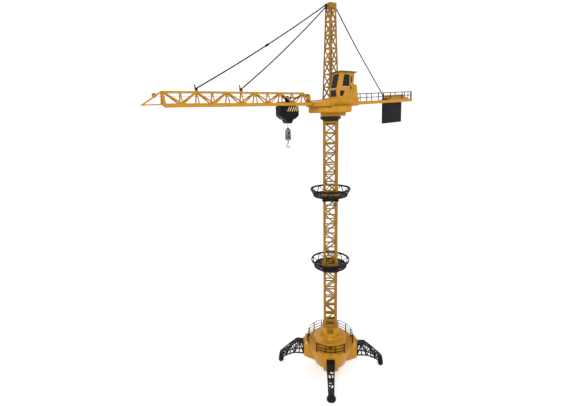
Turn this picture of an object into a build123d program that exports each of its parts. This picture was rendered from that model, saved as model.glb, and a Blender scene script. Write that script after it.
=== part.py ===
"""Toy tower crane: a free-standing lattice crane with a slewing head, a trolley and a hook.

Millimetres, +Z up.  The origin is on the floor, on the mast's axis.  At rest the jib points along -X, the
counter-jib along +X and the cab stands on the -Y side.  The base and mast are drawn with a leg towards -Y and
then turned by BASE_TURN, because the head can stop at any angle over them.  The head is drawn with its jib along
+X and its cab on the +Y side, and is then turned by half a turn.
"""
from build123d import *
import math
import os

# ---------------------------------------------------------------- driving dimensions
# fits
GAP = 0.3              # between pieces that only lie beside each other
SLIP = 0.15            # round a piece that plugs into another
RUNNING = 0.06         # radial clearance of an axle in its bore
WALL = 2.5             # of the moulded shells

# base
BASE_TURN = -38.44     # how far the base stands turned under the jib
BASE_BOTTOM = 16.0
BALCONY_RADIUS = 89.0
BALCONY_LEVEL = 98.0
KEEL_RADIUS = 62.0     # of the shell at its lower edge
LOBE_REACH = 104.0
LOBE_TOP = 108.0
LIP_RADIUS = 91.0      # where a lobe rises above the balcony
LOBE_TOP_WIDTH = 66.0
LOBE_LOW_WIDTH = 40.0
LOBE_KEEL = 56.0       # where a lobe's underside starts to rise
LOBE_KNEE = 78.0
LOBE_KNEE_LEVEL = 27.0
LOBE_SLOPE = 0.55      # of the underside beyond the knee
TIER_RADIUS = 64.0
TIER_TOP = 123.0
CROWN_RADIUS = 38.0
CROWN_TOP = 132.0
SOCKET_TOP = 170.0
SOCKET_WALL = 2.4
MAST_SEAT = 150.0      # where the mast stops in its socket
COVER_SCREWS = 54.0    # radius of the cover's screws

# legs
LEG_ROOT_LOW = 42.0
LEG_ROOT_HIGH = 91.5
LEG_ROOT_WIDTH = 30.0
LEG_FOOT_WIDTH = 20.0
LEG_KNEE = 132.0
LEG_REACH = 204.0
LEG_PLUG = 6.0         # how far a leg goes into its lobe
LEG_SCREW_HEAD = 3.4
FOOT_RADIUS = 16.0     # half the width of the foot's hexagon across the leg
FOOT_SHARE = 0.66      # length of the foot along the leg, over its width
FOOT_CENTRE = 196.0
FOOT_HEIGHT = 24.0
PAD_HEIGHT = 2.0

# balcony railings
RAILING_RADIUS = 86.0
RAILING_HEIGHT = 37.0
RAILING_SPAN = 76.0
RAILING_POSTS = 4
RAILING_BAR = 2.0

# mast
MAST_WIDTH = 50.4
MAST_POST = 9.5        # width of a corner post on each face
MAST_PLATE = 3.5
MAST_PITCH = 33.0
MAST_TOP = 933.0
BASKET_LEVELS = (416.0, 680.0)
SPIGOT_DEPTH = 16.0
MAST_SCREW_HOLE = 1.5
FLANGE_WIDTH = 59.0
FLANGE_THICK = 3.0

# baskets
BASKET_RIM = 69.4
BASKET_FLOOR = 58.0
BASKET_HEIGHT = 27.0
BASKET_FLOOR_THICK = 3.5
BASKET_STRUTS = 10
BASKET_SLEEVE = 15.0

# slewing gear train
RING_RADIUS = 34.0
RING_HEIGHT = 10.6
GEAR_MODULE = 1.0
GEAR_TEETH = 48
PINION_TEETH = 12
GEAR_BACKLASH = 0.2    # extra distance between the two axes
HUB_RADIUS = 16.0
HOUSING_HEIGHT = 11.0
HOUSING_BULGE = 21.0   # radius of the bulge over the pinion
TURNTABLE_APOTHEM = 68.0
TURNTABLE_HEIGHT = 20.0
PLATFORM_HEIGHT = 22.0

# cathead
CATHEAD_FOOT = 38.0
CATHEAD_NECK = 24.0
CATHEAD_TOP = 1268.0
CATHEAD_PITCH = 37.0
CAP_HEIGHT = 14.0

# cab
CAB_INNER = 22.5
CAB_OUTER = 58.0
CAB_HEIGHT = 77.0
ROOF_THICK = 3.5
GLASS = 1.2

# jib
JIB_ROOT = 86.0
JIB_NODE = 108.5       # first node of the top chord
JIB_BAY = 83.4
JIB_BAYS = 5
RAIL_BOTTOM = 982.5
RAIL_DEPTH = 8.0
RAIL_WIDTH = 6.0
RAIL_OFFSET = 15.0
CHORD_TOP = 1021.5
CHORD_DEPTH = 5.0
JIB_PLATE = 2.6
NOSE_LENGTH = 53.5     # of the nose beyond the last bay

# counter-jib
COUNTER_START = 84.0
COUNTER_END = 394.0
COUNTER_RISE = 2.1     # degrees that the counter-jib tilts up
COUNTER_WIDTH = 36.0
COUNTER_THICK = 11.0
COUNTER_BOTTOM = 981.5
COUNTER_RAIL_HEIGHT = 26.0
WEIGHT_START = 244.0
WEIGHT_END = 344.0
WEIGHT_BOTTOM = 909.0
WEIGHT_THICK = 7.0
BALLAST_START = 262.0
BALLAST_END = 367.0
BALLAST_HEIGHT = 16.5
STAY_POST_HEIGHT = 16.0

# trolley, hoist and hook
TROLLEY_PLACE = 168.0
TROLLEY_LENGTH = 66.0
TROLLEY_WIDTH = 26.0
HOUSING_TOP = 981.0
HOUSING_BOTTOM = 931.0
WHEEL_RADIUS = 3.5
WHEEL_SPACING = 44.0
AXLE_RADIUS = 1.0
DRUM_RADIUS = 6.0
HOIST_CORD = 1.2
HOOK_BLOCK_TOP = 915.0
HOOK_BLOCK_BOTTOM = 881.0
HOOK_BLOCK_WIDTH = 15.0
HOOK_BLOCK_DEPTH = 9.0
HOOK_CENTRE = 865.0
HOOK_BEND = 5.5
HOOK_WIRE = 1.4
SHANK_RADIUS = 1.5

# pulleys and cords
PULLEY_GROOVE = 3.0
PULLEY_RADIUS = 4.5
PULLEY_WIDTH = 3.0
PULLEY_LEVEL = 1012.0
TIP_PULLEY_OFFSET = 21.5   # beyond the last bay
ROOT_PULLEY = 88.0
THREAD = 0.8
STAY = 3.6

# ---------------------------------------------------------------- derived places
RING_BOTTOM = MAST_TOP + 4.0
RING_TOP = RING_BOTTOM + RING_HEIGHT
HOUSING_FLOOR = RING_TOP + 0.4
TURNTABLE_BOTTOM = HOUSING_FLOOR + HOUSING_HEIGHT
PLATFORM_BOTTOM = TURNTABLE_BOTTOM + TURNTABLE_HEIGHT
DECK = PLATFORM_BOTTOM + PLATFORM_HEIGHT
RAIL_TOP = RAIL_BOTTOM + RAIL_DEPTH
JIB_END = JIB_NODE + JIB_BAYS * JIB_BAY
NOSE_TIP = JIB_END + NOSE_LENGTH
TIP_PULLEY = JIB_END + TIP_PULLEY_OFFSET
MAST_BORE = MAST_WIDTH - 2 * MAST_PLATE
GEAR_RADIUS = GEAR_MODULE * GEAR_TEETH / 2
PINION_RADIUS = GEAR_MODULE * PINION_TEETH / 2
PINION_PLACE = GEAR_RADIUS + PINION_RADIUS + GEAR_BACKLASH
STAY_PLACES = (JIB_NODE + 2.5 * JIB_BAY, JIB_NODE + 4 * JIB_BAY)
LUG_TOP = CHORD_TOP + 5.0
SCREW_PLACES = [JIB_NODE + (i + 0.25) * JIB_BAY for i in range(JIB_BAYS)]
COUNTER_TOP = COUNTER_BOTTOM + COUNTER_THICK
REAR_STAY_PLACE = WEIGHT_START + 2.5
AXLE_LEVEL = RAIL_BOTTOM + 3.5 + GAP + WHEEL_RADIUS
SCREW_SEAT = LOBE_TOP - 1.5


# ---------------------------------------------------------------- helpers
def turned(shape, degrees):
    return Rot(0, 0, degrees) * shape


def save(node, shapes, degrees=0.0):
    """Write one node, made of one or more separate solids, turned into the crane's own frame."""
    solids = []
    for shape in shapes if isinstance(shapes, list) else [shapes]:
        solids += [turned(solid, degrees) for solid in shape.solids()]
    export_step(solids[0] if len(solids) == 1 else Compound(solids), f"parts/{node}.step")


def save_base(node, shapes):
    save(node, shapes, BASE_TURN)


def save_head(node, shapes):
    save(node, shapes, 180.0)


def polygon(points):
    return Polygon(*points, align=None)


def upright(points, thick, middle=0.0):
    """A plate with an (x, z) outline, thickened equally to both sides of y = middle."""
    return Pos(0, middle, 0) * extrude(Plane.XZ * polygon(points), thick / 2, both=True)


def prism(points, low, high):
    """A block with an (x, y) outline between two levels."""
    return Pos(0, 0, low) * extrude(polygon(points), high - low)


def block(x0, x1, y0, y1, z0, z1):
    size = (x1 - x0, y1 - y0, z1 - z0)
    return Pos((x0 + x1) / 2, (y0 + y1) / 2, (z0 + z1) / 2) * Box(*size)


def disc(radius, low, high, x=0.0, y=0.0):
    return Pos(x, y, (low + high) / 2) * Cylinder(radius, high - low)


def cross_rod(radius, x, z, y0, y1):
    """A round rod along Y."""
    return Pos(x, (y0 + y1) / 2, z) * Rot(90, 0, 0) * Cylinder(radius, y1 - y0)


def long_rod(radius, x0, x1, y, z):
    """A round rod along X."""
    return Pos((x0 + x1) / 2, y, z) * Rot(0, 90, 0) * Cylinder(radius, x1 - x0)


def bar(start, end, wide, deep):
    """A straight rectangular bar between two points; its wide side lies level."""
    start, end = Vector(*start), Vector(*end)
    along = end - start
    across = Vector(0, 0, 1).cross(along) if along.cross(Vector(0, 0, 1)).length > 0.001 else Vector(1, 0, 0)
    return extrude(Plane(origin=start, x_dir=across, z_dir=along) * Rectangle(wide, deep), along.length)


def around(shape, count, start=0.0):
    return [turned(shape, start + 360 / count * i) for i in range(count)]


def inset(points, gaps):
    """The convex polygon whose sides lie inside the given one's sides, each by its own gap."""
    count = len(points)
    pairs = [(points[i], points[(i + 1) % count]) for i in range(count)]
    turn = 1 if sum(a[0] * b[1] - b[0] * a[1] for a, b in pairs) > 0 else -1
    sides = []
    for (a, b), gap in zip(pairs, gaps):
        length = math.dist(a, b)
        nx, ny = turn * (a[1] - b[1]) / length, turn * (b[0] - a[0]) / length
        sides.append((nx, ny, nx * a[0] + ny * a[1] + gap))
    corners = []
    for i in range(count):
        (a, b, c), (d, e, f) = sides[i - 1], sides[i]
        det = a * e - b * d
        corners.append(((c * e - b * f) / det, (a * f - c * d) / det))
    return corners


def braced_cell(corners, low, right, high, left, brace, rising):
    """The two triangular holes of a cell whose corners are the centrelines' crossings: low left, low right,
    high right, high left.  The other values are the members' half widths."""
    a, b, c, d = corners
    if rising:
        return [inset([a, b, c], [low, right, brace]), inset([a, c, d], [brace, high, left])]
    return [inset([a, b, d], [low, brace, left]), inset([b, c, d], [right, high, brace])]


def cut_out(plate, holes):
    return plate - [polygon(hole) for hole in holes]


def spur_gear(teeth, low, high, bore, phase=0.0):
    """A spur gear with straight-flanked teeth; phase turns a tooth away from the +X direction."""
    pitch = 360 / teeth
    root, tip = GEAR_MODULE * (teeth - 2.5) / 2, GEAR_MODULE * (teeth + 1.9) / 2
    points = []
    for i in range(teeth):
        middle = phase + i * pitch
        for radius, share in ((root, -0.27), (tip, -0.11), (tip, 0.11), (root, 0.27)):
            angle = math.radians(middle + share * pitch)
            points.append((radius * math.cos(angle), radius * math.sin(angle)))
    return prism(points, low, high) - disc(bore, low - 1, high + 1)


def screw(x, y, top, length, head=3.0, shank=1.4):
    """A pan-head screw that points down, with a cross recess."""
    slot = Box(0.8, 3.2, 1.2) + Box(3.2, 0.8, 1.2)
    body = disc(head, 0, 2) - Pos(0, 0, 2) * slot
    return Pos(x, y, top) * (body + disc(shank, -length, 0))


# ---------------------------------------------------------------- base
def base_form(wall):
    """The base's outer form, or the same form drawn in by a wall."""
    bowl = [(0, BASE_BOTTOM), (KEEL_RADIUS - wall, BASE_BOTTOM),
            (BALCONY_RADIUS - wall, BALCONY_LEVEL - 12), (BALCONY_RADIUS - wall, BALCONY_LEVEL - wall),
            (TIER_RADIUS + 2 - wall, BALCONY_LEVEL - wall), (TIER_RADIUS - wall, TIER_TOP - 3),
            (TIER_RADIUS - 3 - wall, TIER_TOP - wall), (CROWN_RADIUS + 4, TIER_TOP + 3 - wall),
            (CROWN_RADIUS, CROWN_TOP - wall), (0, CROWN_TOP - wall)]
    form = revolve(Plane.XZ * polygon(bowl), Axis.Z)
    end = LOBE_REACH if wall == 0 else LOBE_REACH - LEG_PLUG - wall - 3
    half_top, half_low = LOBE_TOP_WIDTH / 2 - wall, LOBE_LOW_WIDTH / 2 - wall
    shoulder = LOBE_TOP - 9
    section = [(-half_low, BASE_BOTTOM), (half_low, BASE_BOTTOM), (half_top, shoulder - 22), (half_top, shoulder),
               (half_top - 8, LOBE_TOP - wall), (8 - half_top, LOBE_TOP - wall), (-half_top, shoulder),
               (-half_top, shoulder - 22)]
    lobe = extrude(Plane.YZ * polygon(section), end)
    lobe += extrude(Plane.YZ * polygon(section), -end)
    lip = [(end, LOBE_TOP - 12), (end - 3, LOBE_TOP - 4), (end - 8, LOBE_TOP), (LIP_RADIUS, LOBE_TOP),
           (LIP_RADIUS, BALCONY_LEVEL)] if wall == 0 else [(end, BALCONY_LEVEL - wall)]
    knee_level = LOBE_KNEE_LEVEL + wall
    envelope = [(0, BASE_BOTTOM), (LOBE_KEEL - wall, BASE_BOTTOM), (LOBE_KNEE, knee_level),
                (end, knee_level + LOBE_SLOPE * (end - LOBE_KNEE))]
    envelope += lip + [(0, BALCONY_LEVEL - wall)]
    rounded = revolve(Plane.XZ * polygon(envelope), Axis.Z)
    return form + (lobe & rounded) + (turned(lobe, 90) & rounded)


def base_shell():
    shell = base_form(0) - base_form(WALL)
    pocket = block(LOBE_REACH - LEG_PLUG, LOBE_REACH + 5, -LEG_ROOT_WIDTH / 2 - SLIP, LEG_ROOT_WIDTH / 2 + SLIP,
                   LEG_ROOT_LOW - SLIP, LEG_ROOT_HIGH + SLIP)
    seat_place = LOBE_REACH - LEG_PLUG / 2
    shell += around(disc(4.5, LEG_ROOT_HIGH + SLIP, SCREW_SEAT, seat_place), 4)
    screw_hole = disc(1.5, LEG_ROOT_HIGH - 4, LOBE_TOP + 1, seat_place)
    screw_hole += disc(LEG_SCREW_HEAD + GAP, SCREW_SEAT, LOBE_TOP + 1, seat_place)
    shell -= around(pocket + screw_hole, 4)
    cable_hole = disc(10, CROWN_TOP - WALL - 1, CROWN_TOP + 1)
    vents = [turned(block(TIER_RADIUS - 8, TIER_RADIUS + 4, -7, 7, BALCONY_LEVEL + 9, BALCONY_LEVEL + 16), angle)
             for angle in (-135, -90, -45, 45, 90, 135)]
    bosses = around(disc(4.5, BASE_BOTTOM + WALL, TIER_TOP - 1, COVER_SCREWS), 4, 45)
    holes = around(disc(1.5, BASE_BOTTOM, BASE_BOTTOM + 16, COVER_SCREWS), 4, 45)
    return (shell + bosses) - (holes + vents + [cable_hole])


def base_cover():
    """The bottom cover closes the shell from below and carries the battery tray."""
    level = BASE_BOTTOM + WALL
    cover = base_form(WALL + GAP) & block(-150, 150, -150, 150, BASE_BOTTOM, level)
    cover -= block(-33, 33, -32, 32, BASE_BOTTOM - 1, level + 1)
    cover -= around(disc(1.6, BASE_BOTTOM - 1, level + 1, COVER_SCREWS), 4, 45)
    return cover - block(-9.5, 9.5, 43.5, 52.5, BASE_BOTTOM - 1, level + 1)


def battery_pack():
    """Tray, cells, door and board, stacked over the opening in the bottom cover."""
    level, cell_radius, cell_length = BASE_BOTTOM + WALL, 7.1, 50.0
    tray_top = level + 18
    tray = block(-33, 33, -32, 32, level, tray_top) - block(-31, 31, -30, 30, level - 1, tray_top - 2)
    cells = []
    for i in range(4):
        y = (i - 1.5) * 14.6
        nub = long_rod(2.4, cell_length / 2, cell_length / 2 + 1.2, y, level + 7.4)
        cells.append(long_rod(cell_radius, -cell_length / 2, cell_length / 2, y, level + 7.4) + nub)
    door = block(-33 + GAP, 33 - GAP, -32 + GAP, 32 - GAP, BASE_BOTTOM, level)
    door -= [block(-8 + 4 * i, -6 + 4 * i, 18, 26, BASE_BOTTOM - 1, BASE_BOTTOM + 0.8) for i in range(5)]
    board = block(-30, 30, -20, 20, tray_top, tray_top + 1.6)
    for x, y, wide, deep, high in ((-14, 4, 12, 12, 2), (12, -6, 18, 8, 2), (16, 10, 6, 6, 7), (-22, -12, 5, 5, 6)):
        board += block(x - wide / 2, x + wide / 2, y - deep / 2, y + deep / 2, tray_top + 1.6, tray_top + 1.6 + high)
    return tray, cells, door, board


def power_switch():
    """A slide switch in the bottom cover; its knob stays above the floor."""
    level = BASE_BOTTOM + WALL
    knob = block(-5, 3, 45, 51, BASE_BOTTOM - 3, level + 0.5)
    return knob + block(-15, 12, 41, 55, level + GAP, level + 2.5)


def mast_socket():
    """A sleeve that changes from a round foot to the mast's square."""
    inner = MAST_WIDTH + 2 * SLIP
    outer = inner + 2 * SOCKET_WALL
    foot = Pos(0, 0, CROWN_TOP) * Circle(CROWN_RADIUS - 1)
    waist = Pos(0, 0, CROWN_TOP + 22) * RectangleRounded(outer + 6, outer + 6, 9)
    head = Pos(0, 0, SOCKET_TOP) * RectangleRounded(outer, outer, 2)
    sleeve = loft([foot, waist, head], ruled=True)
    sleeve -= block(-inner / 2, inner / 2, -inner / 2, inner / 2, MAST_SEAT, SOCKET_TOP + 1)
    sleeve -= disc(10, CROWN_TOP - 1, MAST_SEAT + 1)
    plate = block(-11, 11, -CROWN_RADIUS + 4, -inner / 2, CROWN_TOP + 12, CROWN_TOP + 30)
    return sleeve + (plate - block(-7, 7, -CROWN_RADIUS, -CROWN_RADIUS + 6, CROWN_TOP + 16, CROWN_TOP + 26))


def leg():
    """A box truss that arches from the lobe down to the foot, drawn along +X."""
    root = LOBE_REACH - LEG_PLUG
    top = [(LOBE_REACH, LEG_ROOT_HIGH), (LEG_KNEE - 14, LEG_ROOT_HIGH + 2), (LEG_KNEE, LEG_ROOT_HIGH + 3),
           (154.0, 77.0), (175.0, 58.0), (191.0, 43.5), (LEG_REACH - 2, 33.0)]
    low = [(LOBE_REACH, LEG_ROOT_LOW), (122.0, LEG_ROOT_LOW + 1), (141.0, LEG_ROOT_LOW), (159.0, 35.5),
           (174.0, 28.5), (185.0, 20.0), (189.0, 14.0)]
    outline = [(root, LEG_ROOT_LOW)] + low + [(LEG_REACH, 10.0)] + top[::-1] + [(root, LEG_ROOT_HIGH)]
    holes = []
    for i in range(5):
        a, b, c, d = low[i], low[i + 1], top[i + 1], top[i]
        holes += braced_cell([a, b, c, d], 4.0, 1.8, 4.0, 1.8, 1.9, i % 2 == 0)
    half_root, half_foot, skin = LEG_ROOT_WIDTH / 2, LEG_FOOT_WIDTH / 2, 3.0
    plan = [(root, -half_root), (LOBE_REACH, -half_root), (LEG_REACH, -half_foot), (LEG_REACH, half_foot),
            (LOBE_REACH, half_root), (root, half_root)]
    core = [(LOBE_REACH + 4, -half_root + skin), (LEG_REACH - 12, -half_foot + skin - 1),
            (LEG_REACH - 12, half_foot - skin + 1), (LOBE_REACH + 4, half_root - skin)]
    body = extrude(Plane.XZ * polygon(outline), LEG_ROOT_WIDTH, both=True) & prism(plan, 0, 120)
    inside = [(LOBE_REACH + 4, LEG_ROOT_LOW - 5), (141, LEG_ROOT_LOW - 8), (159, 28), (174, 21), (184, 12),
              (190, 24), (190, 40.5), (175, 54), (154, 73), (LEG_KNEE - 1, LEG_ROOT_HIGH - 1.5),
              (LOBE_REACH + 4, LEG_ROOT_HIGH - 4)]
    body -= extrude(Plane.XZ * polygon(inside), LEG_ROOT_WIDTH, both=True) & prism(core, -5, 120)
    windows = Sketch() + [polygon(hole) for hole in holes]
    body -= extrude(Plane.XZ * windows, LEG_ROOT_WIDTH, both=True)
    slots = []
    for start, end, rising in ((147.0, 170.0, True), (172.5, 188.5, False)):
        narrow = half_root - 3.8 - (start - LOBE_REACH) * 0.05
        corners = [(start, -narrow), (end, -narrow + 1), (end, narrow - 1), (start, narrow)]
        slots += braced_cell(corners, 0.5, 1.4, 0.5, 1.4, 1.5, rising)
    body -= extrude(Sketch() + [polygon(slot) for slot in slots], 120)
    for start, z in ((122.0, LEG_ROOT_LOW + 0.5), (141.0, LEG_ROOT_LOW - 1), (159.0, 34.0), (174.0, 27.0)):
        half = half_root - (start - LOBE_REACH) * 0.05 - 1
        body += block(start - 1.8, start + 1.8, -half, half, z - 0.5, z + 3.2)
    ankle = FOOT_HEIGHT - 11
    foot = Pos(FOOT_CENTRE, 0, PAD_HEIGHT) * extrude(foot_outline(FOOT_RADIUS), ankle)
    foot += Pos(FOOT_CENTRE, 0, PAD_HEIGHT + ankle) * extrude(foot_outline(FOOT_RADIUS), 11, taper=22)
    screw_hole = disc(1.5, LEG_ROOT_HIGH - 16, LEG_ROOT_HIGH + 1, LOBE_REACH - LEG_PLUG / 2)
    return body + foot - screw_hole


def foot_outline(radius):
    """A hexagon that is wider across the leg than along it."""
    angles = [math.radians(60 * i + 30) for i in range(6)]
    return polygon([(FOOT_SHARE * radius * math.cos(angle), radius * math.sin(angle)) for angle in angles])


def foot_pad():
    return Pos(FOOT_CENTRE, 0, 0) * extrude(foot_outline(FOOT_RADIUS - 3), PAD_HEIGHT)


def balcony_railing():
    """A curved fence round +X: posts with three level bars."""
    half, bars = RAILING_BAR / 2, []
    for share in (0.32, 0.64, 1.0):
        level = BALCONY_LEVEL + RAILING_HEIGHT * share - RAILING_BAR
        section = Plane.XZ * Pos(RAILING_RADIUS, level + half) * Rectangle(RAILING_BAR, RAILING_BAR)
        bars.append(turned(revolve(section, Axis.Z, RAILING_SPAN), -RAILING_SPAN / 2))
    post = block(RAILING_RADIUS - 1.4, RAILING_RADIUS + 1.4, -1.4, 1.4, BALCONY_LEVEL,
                 BALCONY_LEVEL + RAILING_HEIGHT)
    post += block(RAILING_RADIUS - 2.5, RAILING_RADIUS + 2.5, -3, 3, BALCONY_LEVEL, BALCONY_LEVEL + 2)
    step = (RAILING_SPAN - 3) / (RAILING_POSTS - 1)
    posts = [turned(post, -RAILING_SPAN / 2 + 1.5 + i * step) for i in range(RAILING_POSTS)]
    return Part() + bars + posts


# ---------------------------------------------------------------- mast
def mast_tube(low, high, low_band, high_band):
    """A square tube with braced windows between its solid end bands."""
    half, post, level, brace = MAST_WIDTH / 2, MAST_POST / 2, 2.0, 2.1
    start, end = low + low_band, high - high_band
    cells = max(1, round((end - start) / MAST_PITCH))
    pitch, holes = (end - start) / cells, []
    for i in range(cells):
        z0, z1 = start + i * pitch, start + (i + 1) * pitch
        corners = [(post - half, z0), (half - post, z0), (half - post, z1), (post - half, z1)]
        holes += braced_cell(corners, level, post, level, post, brace, i % 2 == 0)
    face = cut_out(polygon([(-half, low), (half, low), (half, high), (-half, high)]), holes)
    plate = Pos(0, MAST_PLATE / 2 - half, 0) * extrude(Plane.XZ * face, MAST_PLATE / 2, both=True)
    return Part() + around(plate, 4)


def square_ring(outer, inner, low, high):
    frame = Rectangle(outer, outer) - Rectangle(inner, inner)
    return Pos(0, 0, low) * extrude(frame, high - low)


def mast_section(seat, high):
    """A section that stands on a basket floor, with a flange, and a spigot down into the section below."""
    tube = mast_tube(seat, high, 8.0, 6.0)
    spigot = MAST_BORE - 2 * SLIP
    tube += square_ring(FLANGE_WIDTH, MAST_BORE - 4, seat, seat + FLANGE_THICK)
    tube += square_ring(spigot, spigot - 4, seat - BASKET_FLOOR_THICK - SPIGOT_DEPTH, seat + FLANGE_THICK)
    return tube


def lowest_section(high):
    tube = mast_tube(MAST_SEAT, high, SOCKET_TOP - MAST_SEAT + 34, 6.0)
    half, gap, level = MAST_WIDTH / 2, MAST_WIDTH / 2 - MAST_POST, SOCKET_TOP + 22
    opening = block(-gap, gap, -half - 1, half + 1, level - 7, level + 7)
    tube -= opening + turned(opening, 90)
    face = MAST_PLATE - half
    pads = [cross_rod(5.5, x, level, -half, face) for x in (-7, 7)]
    holes = [cross_rod(MAST_SCREW_HOLE, x, level, -half - 1, face + 1) for x in (-7, 7)]
    return tube + pads + block(-gap - 1, gap + 1, -half, face, level - 1.8, level + 1.8) - holes


def basket(level):
    """A round open work basket: a sleeve on the mast, a pierced floor, slanting struts and a rim."""
    sleeve_bore = MAST_WIDTH + 2 * SLIP
    floor_top = level + BASKET_FLOOR_THICK
    floor = disc(BASKET_FLOOR, level, floor_top)
    floor += Pos(0, 0, level) * extrude(Circle(BASKET_FLOOR + 1.5) - Circle(BASKET_FLOOR - 2), BASKET_FLOOR_THICK + 2)
    floor -= block(-MAST_BORE / 2, MAST_BORE / 2, -MAST_BORE / 2, MAST_BORE / 2, level - 1, floor_top + 1)
    floor -= around(disc(4.5, level - 1, floor_top + 1, 47), 12, 15)
    floor += square_ring(sleeve_bore + 6, sleeve_bore, level - BASKET_SLEEVE, level)
    rim = revolve(Plane.XZ * Pos(BASKET_RIM - 1.7, level + BASKET_HEIGHT - 3) * Rectangle(3.4, 6), Axis.Z)
    struts, step = [], math.radians(360 / BASKET_STRUTS)
    for i in range(BASKET_STRUTS):
        for side in (-0.5, 0.5):
            apex, foot = i * step, (i + side) * step
            low, high = BASKET_FLOOR - 0.3, BASKET_RIM - 1.9
            start = (low * math.cos(foot), low * math.sin(foot), level + 2)
            end = (high * math.cos(apex), high * math.sin(apex), level + BASKET_HEIGHT - 3)
            struts.append(bar(start, end, 3.0, 2.2))
    return floor + [rim] + struts


# ---------------------------------------------------------------- slewing gear
def slew_ring():
    """The fixed ring on the mast's head: a plate, a spigot into the mast and the boss for the gear."""
    half, spigot = MAST_WIDTH / 2, MAST_BORE - 2 * SLIP
    ring = block(-half, half, -half, half, MAST_TOP, RING_BOTTOM)
    ring += square_ring(spigot, spigot - 6, MAST_TOP - 12, MAST_TOP)
    profile = [(0, RING_BOTTOM), (RING_RADIUS - 3, RING_BOTTOM), (RING_RADIUS - 1, RING_BOTTOM + 3),
               (RING_RADIUS, RING_BOTTOM + 4), (RING_RADIUS, RING_TOP - 1), (RING_RADIUS - 1, RING_TOP), (0, RING_TOP)]
    ring += revolve(Plane.XZ * polygon(profile), Axis.Z)
    ring += disc(10, RING_TOP, TURNTABLE_BOTTOM - 1.2)
    return ring - disc(5, MAST_TOP - 1, TURNTABLE_BOTTOM)


def slew_gear():
    """The fixed gear that the pinion rolls round; its hub is the head's bearing."""
    low = HOUSING_FLOOR + 2.9
    gear = spur_gear(GEAR_TEETH, low, low + 5, 10 + 0.02)
    hub = disc(HUB_RADIUS, RING_TOP, low) - disc(10 + 0.02, RING_TOP - 1, low + 1)
    return gear + hub


def slew_housing():
    """The rotating gear housing, with a bulge for the pinion on the counter-jib side."""
    middle = PINION_PLACE + HOUSING_BULGE - PINION_RADIUS - 6
    form = Circle(RING_RADIUS - 1) + Pos(-middle, 0) * Circle(HOUSING_BULGE)
    form += Pos(-middle / 2, 0) * Rectangle(middle, 2 * HOUSING_BULGE)
    room = Circle(GEAR_RADIUS + 2.2) + Pos(-PINION_PLACE, 0) * Circle(PINION_RADIUS + 2)
    body = Pos(0, 0, HOUSING_FLOOR) * extrude(form, HOUSING_HEIGHT)
    body -= Pos(0, 0, HOUSING_FLOOR + 2.5) * extrude(room, HOUSING_HEIGHT)
    body -= disc(HUB_RADIUS + RUNNING, HOUSING_FLOOR - 1, HOUSING_FLOOR + 3)
    return body - disc(1.2 + RUNNING, HOUSING_FLOOR - 1, HOUSING_FLOOR + 3, -PINION_PLACE)


def slew_pinion():
    """The pinion and its shaft, drawn where it sits: one tooth space faces the gear."""
    low = HOUSING_FLOOR + 2.9
    gear = spur_gear(PINION_TEETH, low, low + 5, 0.5, 180 + 180 / PINION_TEETH)
    return Pos(PINION_PLACE, 0, 0) * (gear + disc(1.2, HOUSING_FLOOR + 0.3, TURNTABLE_BOTTOM + 1.5))


def turntable():
    """The polygonal tray under the platform, over the gear housing."""
    outline = [(TURNTABLE_APOTHEM / math.cos(math.pi / 8) * math.cos(math.radians(22.5 + 45 * i)),
                TURNTABLE_APOTHEM / math.cos(math.pi / 8) * math.sin(math.radians(22.5 + 45 * i))) for i in range(8)]
    inner = [(x * (1 - WALL / TURNTABLE_APOTHEM), y * (1 - WALL / TURNTABLE_APOTHEM)) for x, y in outline]
    tray = prism(outline, TURNTABLE_BOTTOM + 2, PLATFORM_BOTTOM)
    tray += Pos(0, 0, TURNTABLE_BOTTOM) * extrude(polygon([(x * 0.96, y * 0.96) for x, y in outline]), 2)
    tray -= prism(inner, TURNTABLE_BOTTOM + 2.5, PLATFORM_BOTTOM + 1)
    tray -= disc(7, TURNTABLE_BOTTOM - 1, TURNTABLE_BOTTOM + 4)
    return tray - disc(1.2 + RUNNING, TURNTABLE_BOTTOM - 1, TURNTABLE_BOTTOM + 4, -PINION_PLACE)


def slew_motor():
    low = TURNTABLE_BOTTOM + 2.5
    return disc(9, low, low + 26, -PINION_PLACE) + disc(3, low + 26, low + 28, -PINION_PLACE)


def platform():
    """The deck plate that carries the cab, the cathead and both jibs."""
    rear = COUNTER_START - 16
    outline = [(82, -24), (82, 24), (52, 58), (-rear, 60), (-COUNTER_START, 36),
               (-COUNTER_START, -36), (-rear, -60), (52, -58)]
    body = prism(outline, PLATFORM_BOTTOM, DECK)
    body -= prism([(x * 0.96, y * 0.95) for x, y in outline], PLATFORM_BOTTOM - 1, DECK - WALL)
    slope = upright([(34, DECK + 1), (90, DECK + 1), (90, DECK - 11), (82, DECK - 9)], 140)
    body -= slope
    skin = upright([(34, DECK), (82, DECK - 9.4), (82, DECK - 12), (34, DECK - WALL)], 110)
    body += skin & prism([(x * 0.99, y * 0.98) for x, y in outline], PLATFORM_BOTTOM, DECK)
    tongue = RAIL_OFFSET - RAIL_WIDTH / 2 - GAP
    body += block(74, JIB_ROOT + 11, -tongue + 5, tongue - 5, PLATFORM_BOTTOM + 5, RAIL_TOP)
    for side in (-1, 1):
        inner = PULLEY_WIDTH / 2 + GAP
        ear = [(80, RAIL_TOP - 4), (97, RAIL_TOP - 4), (92, PULLEY_LEVEL + 3), (84, PULLEY_LEVEL + 3)]
        body += upright(ear, 1.8, side * (inner + 0.9))
    body -= cross_rod(AXLE_RADIUS + RUNNING, ROOT_PULLEY, PULLEY_LEVEL, -6, 6)
    return body - disc(6, DECK - WALL - 1, DECK + 1)


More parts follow.
